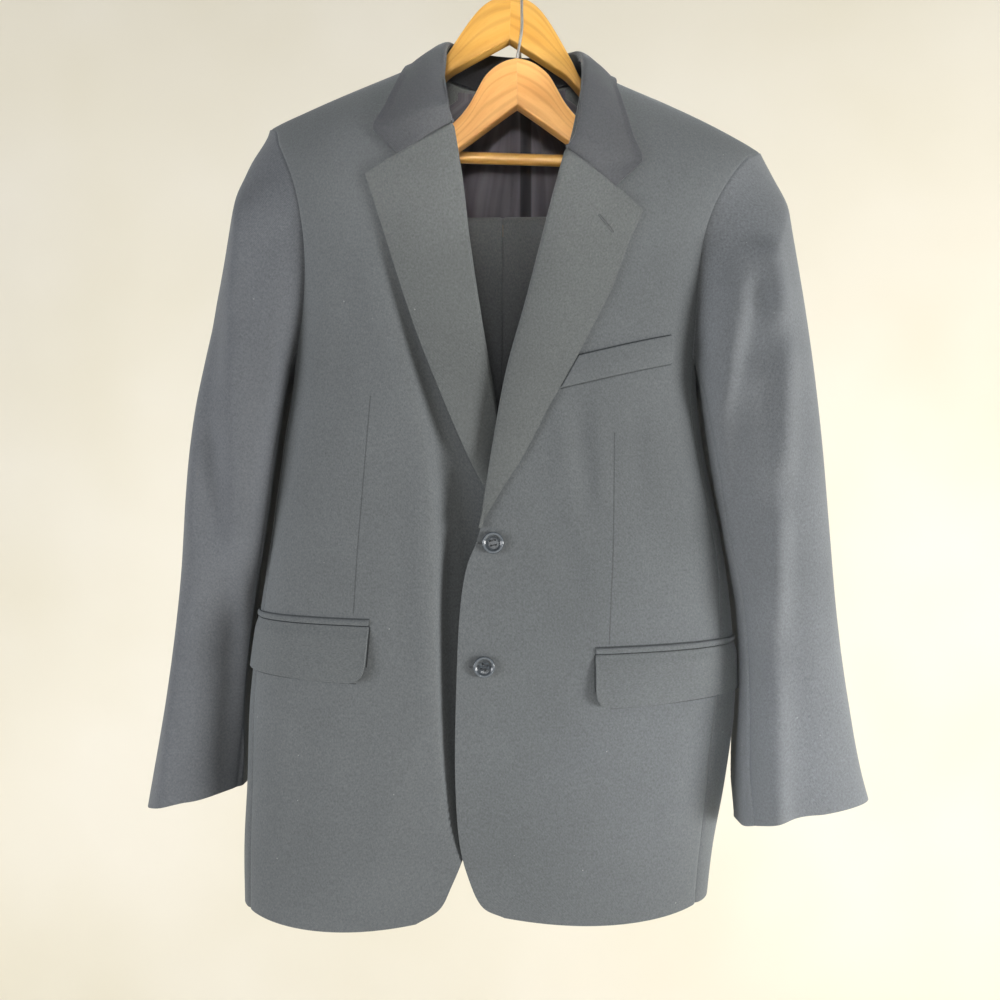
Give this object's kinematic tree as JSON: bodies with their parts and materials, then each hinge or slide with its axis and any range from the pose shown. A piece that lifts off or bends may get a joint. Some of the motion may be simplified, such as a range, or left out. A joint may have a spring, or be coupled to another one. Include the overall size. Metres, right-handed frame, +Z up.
{
  "type": "two-piece suit on hangers",
  "caption": "Charcoal wool notch-lapel jacket buttoned on a wooden hanger by its hook, with its trousers folded inside over a second hanger",
  "frame": {"origin": "the inside top of the upper hanger's hook, where a rod or wall hook carries it", "axes": "+Z up, the suit's front faces -Y, +X is the wearer's left, the hangers lie along X"},
  "size_m": [0.6803, 0.1653, 0.9415],
  "materials": {
    "suiting": "dark charcoal grey worsted wool twill, matt with a short nap",
    "lining": "dark aubergine-grey satin lining with a soft vertical sheen",
    "button": "dark grey marbled polyester, polished rim and matt centre",
    "wood_upper": "honey-yellow lacquered maple, satin gloss",
    "wood_lower": "warm orange-tan lacquered beech, satin gloss",
    "steel": "bright plated steel wire"
  },
  "bodies": {
    "root": {"cuff_button_left_1": "button", "cuff_button_left_2": "button", "cuff_button_left_3": "button", "cuff_button_left_4": "button", "cuff_button_right_1": "button", "cuff_button_right_2": "button", "cuff_button_right_3": "button", "cuff_button_right_4": "button", "jacket_back_left": "suiting", "jacket_back_lining": "lining", "jacket_back_right": "suiting", "jacket_breast_welt": "suiting", "jacket_button_1": "button", "jacket_button_2": "button", "jacket_collar": "suiting", "jacket_collar_stand": "suiting", "jacket_front_left": "suiting", "jacket_front_right": "suiting", "jacket_lapel_left": "suiting", "jacket_lapel_right": "suiting", "jacket_pocket_flap_left": "suiting", "jacket_pocket_flap_right": "suiting", "jacket_pocket_jet_left": "suiting", "jacket_pocket_jet_right": "suiting", "jacket_side_left": "suiting", "jacket_side_right": "suiting", "jacket_sleeve_under_left": "suiting", "jacket_sleeve_under_right": "suiting", "jacket_sleeve_upper_left": "suiting", "jacket_sleeve_upper_right": "suiting", "lower_hanger_arm_left": "wood_lower", "lower_hanger_arm_right": "wood_lower", "lower_hanger_bar": "wood_lower", "lower_hanger_hook": "steel", "trouser_leg_left_back": "suiting", "trouser_leg_left_front": "suiting", "trouser_leg_right_back": "suiting", "trouser_leg_right_front": "suiting", "trouser_waistband": "suiting", "upper_hanger_arm_left": "wood_upper", "upper_hanger_arm_right": "wood_upper", "upper_hanger_bar": "wood_upper", "upper_hanger_hook": "steel"}
  },
  "joints": []
}
